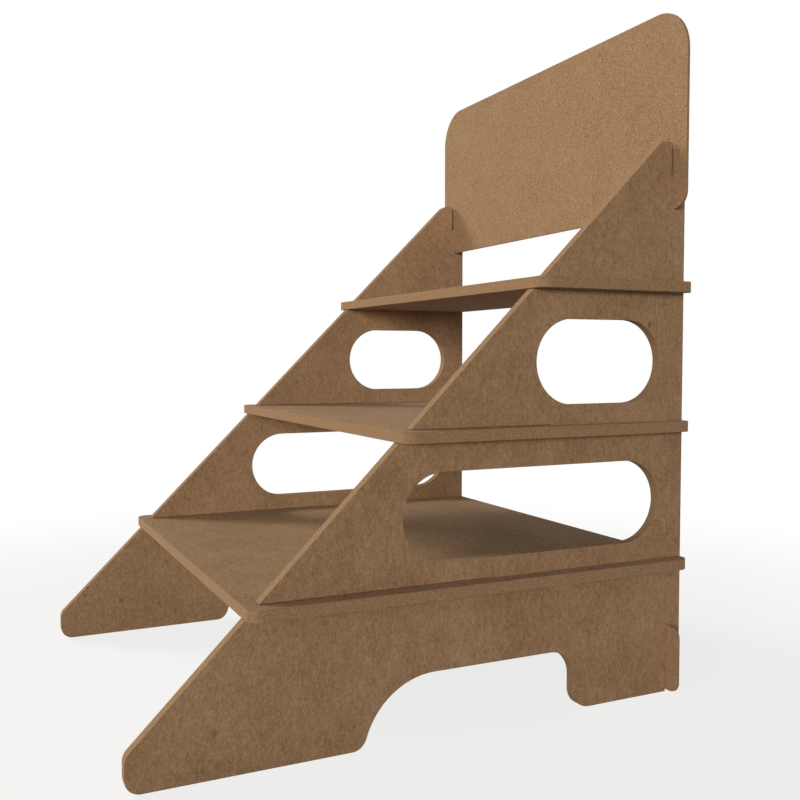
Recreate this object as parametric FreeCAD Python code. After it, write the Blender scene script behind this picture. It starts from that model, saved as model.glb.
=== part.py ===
# A floor-standing display stand of seven flat boards, slotted together without fasteners.
# Millimetres. X runs across the stand, the open front faces -Y and the floor is at Z = 0.
# The origin is on the floor, under the middle of the stand.
import math
import os

import FreeCAD, Part

# Overall sizes
WIDTH = 450.0
DEPTH = 500.0
HEIGHT = 620.0

# Board and fits
BOARD = 9.5
PANEL = 2.7
CLEARANCE = 0.4

# Side boards: a square with its front upper corner cut off on the slant
CLEAR_WIDTH = 400.0
SIDE_HEIGHT = 500.0
FRONT_LAND = 27.0
TOP_LAND = 27.0
NOSE_RADIUS = 12.0

# Arch under each side board
ARCH_HEIGHT = 53.5
REAR_FOOT = 118.8
FRONT_FOOT = 182.0
ARCH_RUN = 16.5
REAR_FOOT_RADIUS = 17.0
REAR_ARCH_RADIUS = 24.0
FRONT_FOOT_RADIUS = 16.0
FRONT_ARCH_RADIUS = 79.0

# Windows in the side boards
WINDOW_ABOVE_SHELF = 17.0
WINDOW_BELOW_SHELF = 25.0
WINDOW_TO_BACK = 27.0
WINDOW_TO_SLANT = 64.5

# Shelves
FIRST_SHELF_TOP = 125.0
SHELF_PITCH = 125.0
SHELF_COUNT = 3
SHELF_NOSE = 2.0
SHELF_BACK_STEP = 1.1
SHELF_RADIUS = 10.0

# Slots of the side boards for the two thin panels, wider than a panel
PANEL_SLOT = 5.5
REAR_LAND = 10.1

# Header panel, which reaches down over the tips of the side boards
HEADER_OVERLAP = 59.0
HEADER_TOP_RADIUS = 40.0
HEADER_FOOT_RADIUS = 16.0

# Brace, a low panel at the foot of the back
BRACE_HEIGHT = 60.0
BRACE_LIFT = 2.0
BRACE_RADIUS = 10.0

# Places worked out from the sizes
FRONT = -DEPTH / 2
BACK = DEPTH / 2
SIDE_INNER = CLEAR_WIDTH / 2
SIDE_OUTER = SIDE_INNER + BOARD
SLOT_BACK = BACK - REAR_LAND
SLOT_FRONT = SLOT_BACK - PANEL_SLOT
HEADER_FRONT = SLOT_BACK - CLEARANCE / 2 - PANEL
BRACE_FRONT = SLOT_FRONT + CLEARANCE / 2
HEADER_BOTTOM = SIDE_HEIGHT - HEADER_OVERLAP
HEADER_HEIGHT = HEIGHT - HEADER_BOTTOM
HEADER_LAP = HEADER_BOTTOM + HEADER_OVERLAP / 2
BRACE_LAP = BRACE_LIFT + BRACE_HEIGHT / 2
SHELF_TOPS = [FIRST_SHELF_TOP + SHELF_PITCH * tier for tier in range(SHELF_COUNT)]


def slant_y(z):
    """Y of the slanted front edge of a side board at height z."""
    share = (z - FRONT_LAND) / (SIDE_HEIGHT - FRONT_LAND)
    return FRONT + share * (DEPTH - TOP_LAND)


def shelf_front(top):
    """Y of the front edge of the shelf whose upper face is at the height top."""
    return slant_y(top - BOARD) - SHELF_NOSE


def shelf_back(top):
    """Y of the back edge of a shelf. The lower a shelf is, the further forward this edge is."""
    return BACK - SHELF_BACK_STEP * (SHELF_TOPS[-1] - top) / SHELF_PITCH


def shelf_lap(top):
    """Y where the slot of the shelf ends and the slot of the side board ends."""
    return (shelf_front(top) + BACK) / 2


def rounded_outline(corners, to_point):
    """A closed face with rounded corners, from rows of u, v, radius.

    Where two radii need more than the straight between them, both are cut down to fit.
    to_point turns u, v into a point in space.
    """
    count = len(corners)
    points = [FreeCAD.Vector(u, v, 0) for u, v, radius in corners]
    back_ways = [(points[i - 1] - points[i]).normalize() for i in range(count)]
    ahead_ways = [back_ways[(i + 1) % count] * -1 for i in range(count)]
    half_angles = [back_ways[i].getAngle(ahead_ways[i]) / 2 for i in range(count)]

    tangents = [corners[i][2] / math.tan(half_angles[i]) for i in range(count)]
    for i in range(count):
        after = (i + 1) % count
        straight = points[i].distanceToPoint(points[after])
        needed = tangents[i] + tangents[after]
        if needed > straight:
            tangents[i] *= straight / needed
            tangents[after] *= straight / needed

    starts = [points[i] + back_ways[i] * tangents[i] for i in range(count)]
    ends = [points[i] + ahead_ways[i] * tangents[i] for i in range(count)]
    edges = []
    for i in range(count):
        if tangents[i] > 0:
            middle_way = (back_ways[i] + ahead_ways[i]).normalize()
            reach = tangents[i] * (1 / math.cos(half_angles[i]) - math.tan(half_angles[i]))
            middle = points[i] + middle_way * reach
            edges.append(Part.Arc(to_point(starts[i]), to_point(middle), to_point(ends[i])).toShape())
        next_start = starts[(i + 1) % count]
        if ends[i].distanceToPoint(next_start) > 1e-6:
            edges.append(Part.makeLine(to_point(ends[i]), to_point(next_start)))
    return Part.Face(Part.Wire(edges))


def side_board(inner_x):
    """A side board, from inner_x outwards along +X, before its slots are cut."""
    arch_back = BACK - REAR_FOOT
    arch_front = FRONT + FRONT_FOOT
    corners = [
        (FRONT, 0, NOSE_RADIUS),
        (arch_front, 0, FRONT_FOOT_RADIUS),
        (arch_front + ARCH_RUN, ARCH_HEIGHT, FRONT_ARCH_RADIUS),
        (arch_back, ARCH_HEIGHT, REAR_ARCH_RADIUS),
        (arch_back, 0, REAR_FOOT_RADIUS),
        (BACK, 0, 0),
        (BACK, SIDE_HEIGHT, 0),
        (BACK - TOP_LAND, SIDE_HEIGHT, NOSE_RADIUS),
        (FRONT, FRONT_LAND, NOSE_RADIUS),
    ]
    face = rounded_outline(corners, lambda p: FreeCAD.Vector(inner_x, p.x, p.y))
    return face.extrude(FreeCAD.Vector(BOARD, 0, 0))


def window(shelf_top, inner_x):
    """The round-ended opening of a side board, between a shelf and the next one up."""
    bottom = shelf_top + WINDOW_ABOVE_SHELF
    top = shelf_top + SHELF_PITCH - BOARD - WINDOW_BELOW_SHELF
    radius = (top - bottom) / 2
    front = slant_y((bottom + top) / 2) + WINDOW_TO_SLANT
    back = BACK - WINDOW_TO_BACK
    corners = [(front, bottom, radius), (back, bottom, radius), (back, top, radius), (front, top, radius)]
    face = rounded_outline(corners, lambda p: FreeCAD.Vector(inner_x, p.x, p.y))
    return face.extrude(FreeCAD.Vector(BOARD, 0, 0))


def block(x0, x1, y0, y1, z0, z1):
    """A box between two opposite corners."""
    return Part.makeBox(x1 - x0, y1 - y0, z1 - z0, FreeCAD.Vector(x0, y0, z0))


def slots_at_sides(y0, y1, z0, z1):
    """Two boxes round the side boards, for the slots of a board that crosses them."""
    inner = SIDE_INNER - CLEARANCE / 2
    outer = SIDE_OUTER + CLEARANCE / 2
    right = block(inner, outer, y0, y1, z0, z1)
    left = block(-outer, -inner, y0, y1, z0, z1)
    return right.fuse(left)


def finished_side(inner_x):
    """A side board with its windows and the slots for the shelves, the header and the brace."""
    outer_x = inner_x + BOARD
    board = side_board(inner_x)
    for top in SHELF_TOPS[:-1]:
        board = board.cut(window(top, inner_x))
    for top in SHELF_TOPS:
        slot_end = shelf_lap(top) + CLEARANCE
        slot = block(inner_x, outer_x, FRONT, slot_end, top - BOARD, top + CLEARANCE)
        board = board.cut(slot)
    board = board.cut(block(inner_x, outer_x, SLOT_FRONT, SLOT_BACK, HEADER_LAP, SIDE_HEIGHT))
    board = board.cut(block(inner_x, outer_x, SLOT_FRONT, SLOT_BACK, 0, BRACE_LAP))
    return board


def shelf(top):
    """A shelf board, slotted from its back edge so that it straddles both side boards."""
    half = WIDTH / 2
    front = shelf_front(top)
    back = shelf_back(top)
    corners = [
        (-half, front, SHELF_RADIUS),
        (half, front, SHELF_RADIUS),
        (half, back, SHELF_RADIUS),
        (-half, back, SHELF_RADIUS),
    ]
    face = rounded_outline(corners, lambda p: FreeCAD.Vector(p.x, p.y, top - BOARD))
    board = face.extrude(FreeCAD.Vector(0, 0, BOARD))
    return board.cut(slots_at_sides(shelf_lap(top), BACK, top - BOARD, top))


def cross_panel(front, bottom, height, bottom_radius, top_radius):
    """A thin upright panel across the back, before its slots are cut."""
    half = WIDTH / 2
    corners = [
        (-half, bottom, bottom_radius),
        (half, bottom, bottom_radius),
        (half, bottom + height, top_radius),
        (-half, bottom + height, top_radius),
    ]
    face = rounded_outline(corners, lambda p: FreeCAD.Vector(p.x, front, p.y))
    return face.extrude(FreeCAD.Vector(0, PANEL, 0))


# Header panel: its slots open downwards and drop over the tips of the side boards
header = cross_panel(HEADER_FRONT, HEADER_BOTTOM, HEADER_HEIGHT, HEADER_FOOT_RADIUS, HEADER_TOP_RADIUS)
header = header.cut(slots_at_sides(HEADER_FRONT, BACK, HEADER_BOTTOM, HEADER_LAP))

# Brace: its slots open upwards and push up into the slots of the side boards
brace = cross_panel(BRACE_FRONT, BRACE_LIFT, BRACE_HEIGHT, BRACE_RADIUS, BRACE_RADIUS)
brace = brace.cut(slots_at_sides(BRACE_FRONT, BACK, BRACE_LAP, BRACE_LIFT + BRACE_HEIGHT))

pieces = {
    "right_side": finished_side(SIDE_INNER),
    "left_side": finished_side(-SIDE_OUTER),
    "header_panel": header,
    "rear_brace": brace,
}
shelf_names = ["lower_shelf", "middle_shelf", "upper_shelf"]
for name, top in zip(shelf_names, SHELF_TOPS):
    pieces[name] = shelf(top)

os.makedirs("parts", exist_ok=True)
for name, shape in pieces.items():
    shape.exportStep("parts/" + name + ".step")
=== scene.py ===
import math

import bpy
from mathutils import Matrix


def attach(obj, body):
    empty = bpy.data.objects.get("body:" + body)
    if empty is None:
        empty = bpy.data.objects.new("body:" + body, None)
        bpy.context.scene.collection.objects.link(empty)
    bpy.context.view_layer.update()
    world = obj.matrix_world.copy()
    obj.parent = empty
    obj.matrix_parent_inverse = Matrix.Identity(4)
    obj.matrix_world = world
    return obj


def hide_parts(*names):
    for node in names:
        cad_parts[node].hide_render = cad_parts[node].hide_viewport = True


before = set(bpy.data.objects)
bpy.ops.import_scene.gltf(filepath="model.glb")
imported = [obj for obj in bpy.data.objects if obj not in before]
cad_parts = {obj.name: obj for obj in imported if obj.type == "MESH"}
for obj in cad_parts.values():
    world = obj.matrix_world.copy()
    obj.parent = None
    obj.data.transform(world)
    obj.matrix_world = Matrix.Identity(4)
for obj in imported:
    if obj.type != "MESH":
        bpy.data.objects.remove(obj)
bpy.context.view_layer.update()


# Side boards
# Two flat boards of thick brown solid board, pressed from pulp and cut in one piece to one
# outline, with slots for all the other boards. They stand on edge and carry the whole display.
def place_node(tree, kind, inputs=None, **settings):
    """Adds a node with its settings, and fills each named input with a value or a link."""
    added = tree.nodes.new(kind)
    for setting, value in settings.items():
        setattr(added, setting, value)
    for socket_name, value in (inputs or {}).items():
        socket = added.inputs[socket_name]
        if isinstance(value, bpy.types.NodeSocket):
            tree.links.new(value, socket)
        else:
            socket.default_value = value
    return added


def cleared_tree(owner):
    """The node tree of a material or of the world, emptied of what it starts with."""
    owner.use_nodes = True
    owner.node_tree.nodes.clear()
    return owner.node_tree


def linear(hex_colour):
    """A colour written as sRGB hex, turned to the linear values that a shader takes."""
    channels = [int(hex_colour[i:i + 2], 16) / 255 for i in (1, 3, 5)]
    return [c / 12.92 if c <= 0.04045 else ((c + 0.055) / 1.055) ** 2.4 for c in channels] + [1.0]


board_thickness = 0.0095
slot_clearance = 0.0004
edge_softening = 0.00025
softening_steps = 2
sharpest_soft_edge = math.radians(30)
weld_distance = 0.00001
arc_steps = 14

side_inner_x = 0.200
side_front_y = -0.250
side_back_y = 0.250
side_height = 0.500
front_land = 0.027
top_land = 0.027
nose_radius = 0.012
arch_height = 0.0535
arch_run = 0.0165
front_foot = 0.182
rear_foot = 0.1188
arch_front_y = side_front_y + front_foot
arch_back_y = side_back_y - rear_foot
front_foot_radius = 0.016
front_arch_radius = 0.079
rear_arch_radius = 0.024
rear_foot_radius = 0.017
window_above_shelf = 0.017
window_below_shelf = 0.025
window_to_back = 0.027
window_to_slant = 0.0645
shelf_tops = [0.125, 0.250, 0.375]
shelf_nose = 0.002
panel_slot_front_y = 0.2344
panel_slot_back_y = 0.2399
header_lap_z = 0.4705
brace_lap_z = 0.032

board_brown = "#A07E5B"
cut_brown = "#9C7B58"
pulp_dark = "#7B5B3C"
pulp_pale = "#BC9B74"
fleck_dark = "#4B3320"
fleck_pale = "#C2A682"
board_ior = 1.45


def summed(tree, shares):
    """The sum of several patterns, each times its share."""
    total = 0.0
    for pattern, share in shares:
        inputs = {0: pattern, 1: share, 2: total}
        total = place_node(tree, "ShaderNodeMath", inputs, operation="MULTIPLY_ADD").outputs[0]
    return total


def pressed_board(name, grain, mottle=1.0, grit_share=0.42, stain=None):
    """Solid board, face side: pressed from brown pulp and left uncoated.

    To the eye it is fully matt, faintly mottled, with a fine grit, small dark flecks of bark
    and a few pale ones. grain scales the pattern along X, Y and Z, and is under 1 where the
    fibres run. mottle and grit_share set how strongly the coarse and fine parts show. stain is
    the Y and Z of one round darker spot, which shows on both faces of a side board.
    """
    finish = bpy.data.materials.new(name)
    tree = cleared_tree(finish)
    where = place_node(tree, "ShaderNodeTexCoord").outputs["Object"]
    along = place_node(tree, "ShaderNodeMapping", {"Vector": where, "Scale": grain}).outputs["Vector"]

    # Single fibres are too fine to show in the render, so clumps of them are drawn
    cloud_size = 0.045
    fibre_size = 0.0045
    pulp_size = 0.0022
    grit_size = 0.0007
    clouds = place_node(tree, "ShaderNodeTexNoise", {"Vector": where, "Scale": 1 / cloud_size, "Detail": 3.0})
    fibres = place_node(tree, "ShaderNodeTexNoise", {"Vector": along, "Scale": 1 / fibre_size, "Detail": 2.0})
    pulp = place_node(tree, "ShaderNodeTexNoise", {"Vector": along, "Scale": 1 / pulp_size, "Detail": 2.0})
    grit = place_node(tree, "ShaderNodeTexNoise", {"Vector": where, "Scale": 1 / grit_size, "Detail": 1.0})

    shares = [
        (clouds.outputs["Fac"], 0.20 * mottle),
        (fibres.outputs["Fac"], 0.20 * mottle),
        (pulp.outputs["Fac"], 0.27 * mottle),
        (grit.outputs["Fac"], grit_share),
    ]
    tone = summed(tree, shares)
    ramp = place_node(tree, "ShaderNodeValToRGB", {"Fac": tone})
    middle = sum(share for pattern, share in shares) / 2
    spread = 0.17
    ramp.color_ramp.elements[0].position = middle - spread
    ramp.color_ramp.elements[0].color = linear(pulp_dark)
    ramp.color_ramp.elements[1].position = middle + spread
    ramp.color_ramp.elements[1].color = linear(pulp_pale)
    ramp.color_ramp.elements.new(middle).color = linear(board_brown)
    colour = ramp.outputs["Color"]

    # Flecks: how far apart they lie, the largest as a share of that, their colour and strength
    flecks = [
        (0.008, 0.17, fleck_dark, 1.0),
        (0.013, 0.15, fleck_pale, 0.8),
        (0.035, 0.07, fleck_dark, 0.9),
    ]
    for apart, largest, hex_colour, strength in flecks:
        spots = place_node(tree, "ShaderNodeTexVoronoi", {"Vector": along, "Scale": 1 / apart})
        chance = place_node(tree, "ShaderNodeSeparateColor", {"Color": spots.outputs["Color"]})
        scaled = {0: chance.outputs["Red"], 1: largest}
        reach = place_node(tree, "ShaderNodeMath", scaled, operation="MULTIPLY").outputs[0]
        mask = place_node(tree, "ShaderNodeMapRange", {
            "Value": spots.outputs["Distance"],
            "From Min": reach,
            "From Max": 0.0,
            "To Max": strength,
        })
        blend = {0: mask.outputs["Result"], 6: colour, 7: linear(hex_colour)}
        colour = place_node(tree, "ShaderNodeMix", blend, data_type="RGBA").outputs[2]

    if stain:
        stain_rim = 0.0042
        stain_core = 0.0012
        stain_strength = 0.5
        flat = place_node(tree, "ShaderNodeVectorMath", {0: where, 1: (0.0, 1.0, 1.0)}, operation="MULTIPLY")
        spot = {0: flat.outputs["Vector"], 1: (0.0, *stain)}
        away = place_node(tree, "ShaderNodeVectorMath", spot, operation="DISTANCE").outputs["Value"]
        mask = place_node(tree, "ShaderNodeMapRange", {
            "Value": away,
            "From Min": stain_rim,
            "From Max": stain_core,
            "To Max": stain_strength,
        })
        blend = {0: mask.outputs["Result"], 6: colour, 7: linear(fleck_dark)}
        colour = place_node(tree, "ShaderNodeMix", blend, data_type="RGBA").outputs[2]

    smoothest = 0.82
    roughest = 0.95
    relief_depth = 0.0004
    roughness = place_node(tree, "ShaderNodeMapRange", {
        "Value": pulp.outputs["Fac"],
        "From Min": 0.3,
        "From Max": 0.7,
        "To Min": smoothest,
        "To Max": roughest,
    })
    relief = place_node(tree, "ShaderNodeBump", {"Height": tone, "Strength": 0.5, "Distance": relief_depth})
    shader = place_node(tree, "ShaderNodeBsdfPrincipled", {
        "Base Color": colour,
        "Roughness": roughness.outputs["Result"],
        "Normal": relief.outputs["Normal"],
        "IOR": board_ior,
    })
    place_node(tree, "ShaderNodeOutputMaterial", {"Surface": shader.outputs[0]})
    return finish


def sawn_board(name):
    """Solid board, cut edge: the cut lays open the pulp between the two faces.

    To the eye it is as brown as the face, with a more open and even grain, no flecks, and very
    faint lines where the plies were pasted together.
    """
    finish = bpy.data.materials.new(name)
    tree = cleared_tree(finish)
    where = place_node(tree, "ShaderNodeTexCoord").outputs["Object"]

    grain_size = 0.0016
    grit_size = 0.0007
    ply_count = 6.0
    ply_strength = -0.012
    spread = 0.28
    relief_depth = 0.0003
    grain = place_node(tree, "ShaderNodeTexNoise", {"Vector": where, "Scale": 1 / grain_size, "Detail": 2.0})
    grit = place_node(tree, "ShaderNodeTexNoise", {"Vector": where, "Scale": 1 / grit_size, "Detail": 1.0})
    through = place_node(tree, "ShaderNodeAttribute", attribute_name="through").outputs["Fac"]
    ply_angle = {0: through, 1: ply_count * math.tau}
    plies = place_node(tree, "ShaderNodeMath", ply_angle, operation="MULTIPLY")
    waves = place_node(tree, "ShaderNodeMath", {0: plies.outputs[0]}, operation="COSINE")
    shares = [(grain.outputs["Fac"], 0.5), (grit.outputs["Fac"], 0.5)]
    tone = summed(tree, shares + [(waves.outputs[0], ply_strength)])
    ramp = place_node(tree, "ShaderNodeValToRGB", {"Fac": tone})
    middle = sum(share for pattern, share in shares) / 2
    ramp.color_ramp.elements[0].position = middle - spread
    ramp.color_ramp.elements[0].color = linear(pulp_dark)
    ramp.color_ramp.elements[1].position = middle + spread
    ramp.color_ramp.elements[1].color = linear(pulp_pale)
    ramp.color_ramp.elements.new(middle).color = linear(cut_brown)
    relief = place_node(tree, "ShaderNodeBump", {"Height": tone, "Strength": 0.4, "Distance": relief_depth})
    shader = place_node(tree, "ShaderNodeBsdfPrincipled", {
        "Base Color": ramp.outputs["Color"],
        "Roughness": 0.93,
        "Normal": relief.outputs["Normal"],
        "IOR": board_ior,
    })
    place_node(tree, "ShaderNodeOutputMaterial", {"Surface": shader.outputs[0]})
    return finish


def board_cutting():
    """The tree that cuts a board: rounds the outline's corners, fills it and gives it its thickness."""
    tree = bpy.data.node_groups.new("board_cutting", "GeometryNodeTree")
    sockets = [
        ("Outline", "NodeSocketGeometry", None),
        ("Thickness", "NodeSocketFloat", board_thickness),
        ("Arc Steps", "NodeSocketInt", arc_steps),
        ("Turn", "NodeSocketRotation", None),
        ("Place", "NodeSocketVector", None),
        ("Face Finish", "NodeSocketMaterial", None),
        ("Edge Finish", "NodeSocketMaterial", None),
    ]
    for name, kind, value in sockets:
        socket = tree.interface.new_socket(name, in_out="INPUT", socket_type=kind)
        if value is not None:
            socket.default_value = value
    tree.interface.new_socket("Board", in_out="OUTPUT", socket_type="NodeSocketGeometry")
    given = place_node(tree, "NodeGroupInput").outputs

    radius = place_node(tree, "GeometryNodeInputNamedAttribute", {"Name": "corner_radius"}, data_type="FLOAT")
    curves = place_node(tree, "GeometryNodeMeshToCurve", {"Mesh": given["Outline"]})
    fillet = place_node(tree, "GeometryNodeFilletCurve", {
        "Curve": curves.outputs[0],
        "Count": given["Arc Steps"],
        "Radius": radius.outputs[0],
        "Limit Radius": True,
    }, mode="POLY")
    filled = place_node(tree, "GeometryNodeFillCurve", {"Curve": fillet.outputs[0]}, mode="NGONS")
    sheet = place_node(tree, "GeometryNodeMergeByDistance", {
        "Geometry": filled.outputs[0],
        "Distance": weld_distance,
    })

    up = place_node(tree, "ShaderNodeCombineXYZ", {"Z": 1.0})
    raised = place_node(tree, "GeometryNodeExtrudeMesh", {
        "Mesh": sheet.outputs[0],
        "Offset": up.outputs[0],
        "Offset Scale": given["Thickness"],
        "Individual": False,
    })
    walls = place_node(tree, "GeometryNodeStoreNamedAttribute", {
        "Geometry": raised.outputs["Mesh"],
        "Name": "cut_edge",
        "Value": raised.outputs["Side"],
    }, data_type="BOOLEAN", domain="FACE")
    underside = place_node(tree, "GeometryNodeFlipFaces", {"Mesh": sheet.outputs[0]})
    joined = place_node(tree, "GeometryNodeJoinGeometry")
    tree.links.new(walls.outputs[0], joined.inputs[0])
    tree.links.new(underside.outputs[0], joined.inputs[0])
    closed = place_node(tree, "GeometryNodeMergeByDistance", {
        "Geometry": joined.outputs[0],
        "Distance": weld_distance,
    })

    # How far through the board each point lies, from 0 to 1, which places the plies
    position = place_node(tree, "GeometryNodeInputPosition").outputs[0]
    height = place_node(tree, "ShaderNodeSeparateXYZ", {"Vector": position}).outputs["Z"]
    inputs = {0: height, 1: given["Thickness"]}
    share = place_node(tree, "ShaderNodeMath", inputs, operation="DIVIDE")
    measured = place_node(tree, "GeometryNodeStoreNamedAttribute", {
        "Geometry": closed.outputs[0],
        "Name": "through",
        "Value": share.outputs[0],
    }, data_type="FLOAT", domain="POINT")
    smooth = place_node(tree, "GeometryNodeSetShadeSmooth", {"Geometry": measured.outputs[0]})
    placed = place_node(tree, "GeometryNodeTransform", {
        "Geometry": smooth.outputs[0],
        "Translation": given["Place"],
        "Rotation": given["Turn"],
    })
    real = place_node(tree, "GeometryNodeRealizeInstances", {"Geometry": placed.outputs[0]})
    faced = place_node(tree, "GeometryNodeSetMaterial", {
        "Geometry": real.outputs[0],
        "Material": given["Face Finish"],
    })
    cut = place_node(tree, "GeometryNodeInputNamedAttribute", {"Name": "cut_edge"}, data_type="BOOLEAN")
    edged = place_node(tree, "GeometryNodeSetMaterial", {
        "Geometry": faced.outputs[0],
        "Selection": cut.outputs[0],
        "Material": given["Edge Finish"],
    })
    place_node(tree, "NodeGroupOutput", {0: edged.outputs[0]})
    return tree


def cut_board(name, outlines, thickness, turn, place, face_finish):
    """One board with softened edges, from closed outlines of rows of u, v, corner radius."""
    flat = bpy.data.meshes.new(name + "_outline")
    points, edges, radii = [], [], []
    for outline in outlines:
        first = len(points)
        count = len(outline)
        points += [(u, v, 0.0) for u, v, radius in outline]
        radii += [radius for u, v, radius in outline]
        edges += [(first + i, first + (i + 1) % count) for i in range(count)]
    flat.from_pydata(points, edges, [])
    flat.attributes.new("corner_radius", "FLOAT", "POINT").data.foreach_set("value", radii)
    pattern = bpy.data.objects.new(name + "_pattern", flat)
    bpy.context.scene.collection.objects.link(pattern)

    cutting = pattern.modifiers.new("cutting", "NODES")
    cutting.node_group = board_tree
    values = {
        "Thickness": thickness,
        "Turn": turn,
        "Place": place,
        "Face Finish": face_finish,
        "Edge Finish": cut_edge,
    }
    for socket in board_tree.interface.items_tree:
        if socket.name in values:
            cutting[socket.identifier] = values[socket.name]
    softening = pattern.modifiers.new("softening", "BEVEL")
    softening.width = edge_softening
    softening.segments = softening_steps
    softening.limit_method = "ANGLE"
    softening.angle_limit = sharpest_soft_edge
    softening.harden_normals = True

    finished = pattern.evaluated_get(bpy.context.evaluated_depsgraph_get())
    mesh = bpy.data.meshes.new_from_object(finished)
    mesh.name = name
    board = bpy.data.objects.new(name, mesh)
    bpy.context.scene.collection.objects.link(board)
    bpy.data.objects.remove(pattern)
    return board


def slant_y(z):
    """Y of the slanted front edge at height z."""
    share = (z - front_land) / (side_height - front_land)
    return side_front_y + share * (side_back_y - top_land - side_front_y)


def shelf_front_y(top):
    """Y of the front edge of the shelf whose upper face is at height top, a little proud of the slant."""
    return slant_y(top - board_thickness) - shelf_nose


def shelf_lap_y(top):
    """Y where the slots of a shelf and of the side boards meet."""
    return (shelf_front_y(top) + side_back_y) / 2


def side_outlines():
    """The outline of a side board in Y and Z, with its slots, and the outlines of its windows."""
    outline = [
        (side_front_y, 0.0, nose_radius),
        (arch_front_y, 0.0, front_foot_radius),
        (arch_front_y + arch_run, arch_height, front_arch_radius),
        (arch_back_y, arch_height, rear_arch_radius),
        (arch_back_y, 0.0, rear_foot_radius),
        (panel_slot_front_y, 0.0, 0.0),
        (panel_slot_front_y, brace_lap_z, 0.0),
        (panel_slot_back_y, brace_lap_z, 0.0),
        (panel_slot_back_y, 0.0, 0.0),
        (side_back_y, 0.0, 0.0),
        (side_back_y, side_height, 0.0),
        (panel_slot_back_y, side_height, 0.0),
        (panel_slot_back_y, header_lap_z, 0.0),
        (panel_slot_front_y, header_lap_z, 0.0),
        (panel_slot_front_y, side_height, 0.0),
        (side_back_y - top_land, side_height, nose_radius),
    ]
    for top in reversed(shelf_tops):
        upper = top + slot_clearance
        lower = top - board_thickness
        end = shelf_lap_y(top) + slot_clearance
        slot = [(slant_y(upper), upper), (end, upper), (end, lower), (slant_y(lower), lower)]
        outline += [(y, z, 0.0) for y, z in slot]
    outline.append((side_front_y, front_land, nose_radius))

    windows = []
    for shelf_below, shelf_above in zip(shelf_tops, shelf_tops[1:]):
        low = shelf_below + window_above_shelf
        high = shelf_above - board_thickness - window_below_shelf
        front = slant_y((low + high) / 2) + window_to_slant
        back = side_back_y - window_to_back
        round_end = (high - low) / 2
        corners = [(front, low), (back, low), (back, high), (front, high)]
        windows.append([(y, z, round_end) for y, z in corners])
    return [outline] + windows


board_tree = board_cutting()
standing_face = pressed_board("pressed_board_grain_upright", (1.0, 1.0, 0.6), stain=(-0.186, 0.035))
cut_edge = sawn_board("sawn_board_edge")
turned_to_side = (math.radians(90), 0.0, math.radians(90))
for name, inner_x in (("right_side", side_inner_x), ("left_side", -side_inner_x - board_thickness)):
    place = (inner_x, 0.0, 0.0)
    side = cut_board(name + "_board", side_outlines(), board_thickness, turned_to_side, place, standing_face)
    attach(side, "root")
    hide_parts(name)


# Shelves
# Three boards of the same stock, one width and growing depth, that step back up the slant.
# Each is slotted from its back edge and pushed home over both side boards, without glue.
half_width = 0.225
shelf_radius = 0.010
shelf_back_step = 0.0011
lying_face = pressed_board("pressed_board_grain_across", (0.7, 1.0, 1.0), grit_share=1.0)


def slots_at_sides(lap, mouth):
    """The corners of two slots round the side boards, from +X to -X, open at the mouth."""
    inner = side_inner_x - slot_clearance / 2
    outer = side_inner_x + board_thickness + slot_clearance / 2
    right = [(outer, mouth, 0.0), (outer, lap, 0.0), (inner, lap, 0.0), (inner, mouth, 0.0)]
    left = [(-x, v, radius) for x, v, radius in reversed(right)]
    return right + left


shelf_names = ["lower_shelf", "middle_shelf", "upper_shelf"]
for tier, (name, top) in enumerate(zip(shelf_names, shelf_tops), start=1):
    tiers_above = len(shelf_tops) - tier
    front = shelf_front_y(top)
    back = side_back_y - tiers_above * shelf_back_step
    outline = [
        (-half_width, front, shelf_radius),
        (half_width, front, shelf_radius),
        (half_width, back, shelf_radius),
    ]
    outline += slots_at_sides(shelf_lap_y(top), back)
    outline.append((-half_width, back, shelf_radius))
    place = (0.0, 0.0, top - board_thickness)
    shelf = cut_board(name + "_board", [outline], board_thickness, (0.0, 0.0, 0.0), place, lying_face)
    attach(shelf, "root")
    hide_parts(name)


# Header panel
# An upright panel of thinner, grittier board with large round top corners. Its two slots drop
# over the tips of the side boards, so that it hangs in place and its ears stand outside them.
panel_thickness = 0.0027
header_bottom_z = 0.441
header_top_z = 0.620
header_foot_radius = 0.016
header_top_radius = 0.040
header_back_y = panel_slot_back_y - slot_clearance / 2
turned_upright = (math.radians(90), 0.0, 0.0)
panel_face = pressed_board("pressed_thin_board", (1.0, 1.0, 1.0), mottle=0.45, grit_share=0.8)
outline = [
    (-half_width, header_top_z, header_top_radius),
    (-half_width, header_bottom_z, header_foot_radius),
]
outline += reversed(slots_at_sides(header_lap_z, header_bottom_z))
outline += [
    (half_width, header_bottom_z, header_foot_radius),
    (half_width, header_top_z, header_top_radius),
]
place = (0.0, header_back_y, 0.0)
header = cut_board("header_panel_board", [outline], panel_thickness, turned_upright, place, panel_face)
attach(header, "root")
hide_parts("header_panel")


# Rear brace
# A low strip of the thinner board across the foot of the back. Its slots open upwards and push
# up into the side boards, which keeps them square and a fixed width apart.
brace_bottom_z = 0.002
brace_top_z = 0.062
brace_radius = 0.010
brace_back_y = panel_slot_front_y + slot_clearance / 2 + panel_thickness
outline = [
    (-half_width, brace_bottom_z, brace_radius),
    (half_width, brace_bottom_z, brace_radius),
    (half_width, brace_top_z, brace_radius),
]
outline += slots_at_sides(brace_lap_z, brace_top_z)
outline.append((-half_width, brace_top_z, brace_radius))
place = (0.0, brace_back_y, 0.0)
brace = cut_board("rear_brace_board", [outline], panel_thickness, turned_upright, place, panel_face)
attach(brace, "root")
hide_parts("rear_brace")


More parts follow.
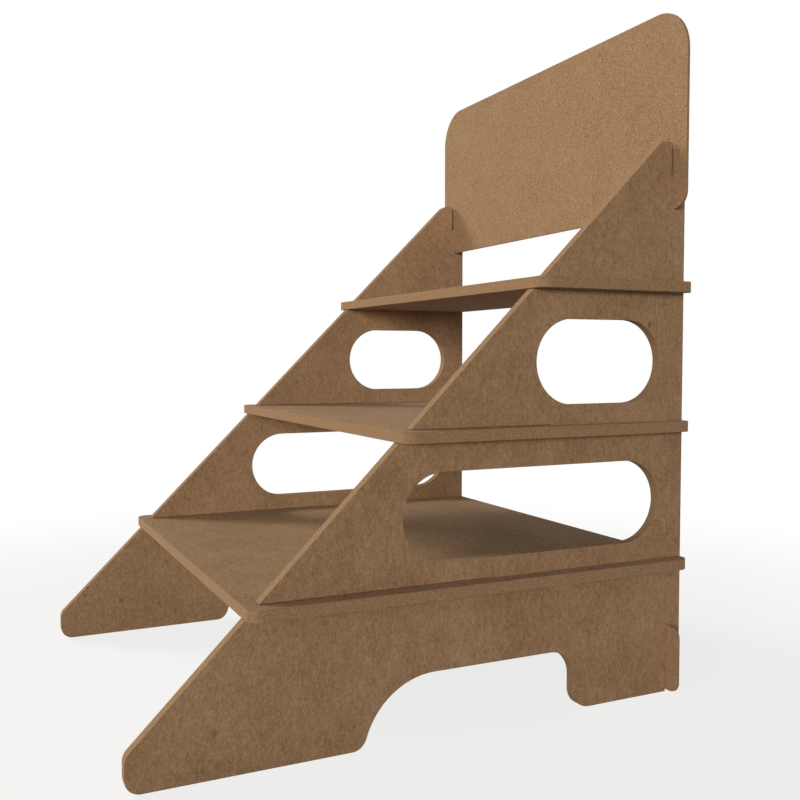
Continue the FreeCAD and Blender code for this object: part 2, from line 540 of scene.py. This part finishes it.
# Floor
# A plain pale studio floor that fades into the white surround and keeps the stand's soft shadow.
# It gives back a little of the light that falls on it, as a grey floor would.
floor_half = 3.0
fade_start = 0.45
fade_end = 1.1
shadow_grey = (0.2, 0.2, 0.2, 1.0)
glow_grey = (0.8, 0.8, 0.8, 1.0)
bounce_grey = (0.3, 0.3, 0.3, 1.0)
plain_white = (1.0, 1.0, 1.0, 1.0)


def direct_view(tree):
    """1 for what is seen straight, mirrored or through glass, and 0 for light that bounces."""
    rays = place_node(tree, "ShaderNodeLightPath").outputs
    seen = 0.0
    for kind in ("Is Camera Ray", "Is Glossy Ray", "Is Transmission Ray"):
        seen = place_node(tree, "ShaderNodeMath", {0: seen, 1: rays[kind]}, operation="MAXIMUM").outputs[0]
    return seen


floor_mesh = bpy.data.meshes.new("studio_floor")
corners = [(-floor_half, -floor_half, 0.0), (floor_half, -floor_half, 0.0),
           (floor_half, floor_half, 0.0), (-floor_half, floor_half, 0.0)]
floor_mesh.from_pydata(corners, [], [(0, 1, 2, 3)])
floor = bpy.data.objects.new("studio_floor", floor_mesh)
bpy.context.scene.collection.objects.link(floor)
floor_paint = bpy.data.materials.new("pale_studio_paint")
tree = cleared_tree(floor_paint)
where = place_node(tree, "ShaderNodeTexCoord").outputs["Object"]
reach = place_node(tree, "ShaderNodeVectorMath", {0: where}, operation="LENGTH").outputs["Value"]
outwards = {"Value": reach, "From Min": fade_start, "From Max": fade_end}
fade = place_node(tree, "ShaderNodeMapRange", outwards, interpolation_type="SMOOTHSTEP").outputs["Result"]
matt = place_node(tree, "ShaderNodeBsdfDiffuse", {"Color": shadow_grey}).outputs[0]
glow = place_node(tree, "ShaderNodeEmission", {"Color": glow_grey}).outputs[0]
near = place_node(tree, "ShaderNodeAddShader", {0: matt, 1: glow}).outputs[0]
white = place_node(tree, "ShaderNodeEmission", {"Color": plain_white}).outputs[0]
seen = place_node(tree, "ShaderNodeMixShader", {0: fade, 1: near, 2: white}).outputs[0]
bounce = place_node(tree, "ShaderNodeBsdfDiffuse", {"Color": bounce_grey}).outputs[0]
surface = place_node(tree, "ShaderNodeMixShader", {0: direct_view(tree), 1: bounce, 2: seen})
place_node(tree, "ShaderNodeOutputMaterial", {"Surface": surface.outputs[0]})
floor_mesh.materials.append(floor_paint)


# Light
# Warm light from high on the left in front, whiter light low on the right, and a dim white room.
# One lamp straight behind shows the back to other cameras and leaves the front as it is.
room_light = 0.03


def soft_lamp(name, left_of_front, height, spread, strength, colour):
    """A lamp far away, turned from the front towards -X, at a height above the horizon, in degrees."""
    lamp = bpy.data.lights.new(name, "SUN")
    lamp.energy = strength * math.pi
    lamp.angle = math.radians(spread)
    lamp.color = colour
    holder = bpy.data.objects.new(name, lamp)
    holder.rotation_euler = (math.radians(90 - height), 0.0, math.radians(-left_of_front))
    bpy.context.scene.collection.objects.link(holder)


soft_lamp("key_lamp", left_of_front=61, height=31, spread=18, strength=0.455, colour=(1.0, 0.93, 0.83))
soft_lamp("key_lamp_lower", left_of_front=53, height=20, spread=18, strength=0.11, colour=(1.0, 0.91, 0.60))
soft_lamp("key_lamp_inner", left_of_front=40, height=38, spread=18, strength=0.11, colour=(1.0, 0.84, 0.56))
soft_lamp("side_lamp", left_of_front=105, height=8, spread=14, strength=0.09, colour=(1.0, 0.89, 0.63))
soft_lamp("fill_lamp_outer", left_of_front=-58, height=8, spread=16, strength=0.34, colour=(1.0, 0.99, 0.96))
soft_lamp("fill_lamp_inner", left_of_front=-35, height=8, spread=16, strength=0.28, colour=(1.0, 0.94, 0.98))
soft_lamp("front_lamp", left_of_front=-22, height=22, spread=20, strength=0.09, colour=(0.85, 0.92, 1.0))
soft_lamp("back_lamp", left_of_front=180, height=5, spread=8, strength=0.26, colour=(1.0, 1.0, 1.0))

room = bpy.data.worlds.new("white_room")
bpy.context.scene.world = room
tree = cleared_tree(room)
dim = place_node(tree, "ShaderNodeBackground", {"Color": plain_white, "Strength": room_light}).outputs[0]
white = place_node(tree, "ShaderNodeBackground", {"Color": plain_white, "Strength": 1.0}).outputs[0]
surround = place_node(tree, "ShaderNodeMixShader", {0: direct_view(tree), 1: dim, 2: white})
place_node(tree, "ShaderNodeOutputWorld", {"Surface": surround.outputs[0]})


# Camera
# Stands in front on the right, at half the stand's height, and looks slightly down.
lens = bpy.data.cameras.new("photo_lens")
lens.sensor_width = 36.0
lens.lens = 42.254
camera = bpy.data.objects.new("photo_camera", lens)
camera.location = (0.8725, -0.35353, 0.30907)
camera.rotation_euler = (math.radians(87.2847), 0.0, math.radians(64.4245))
bpy.context.scene.collection.objects.link(camera)
bpy.context.scene.camera = camera
bpy.context.scene.view_settings.view_transform = "Standard"
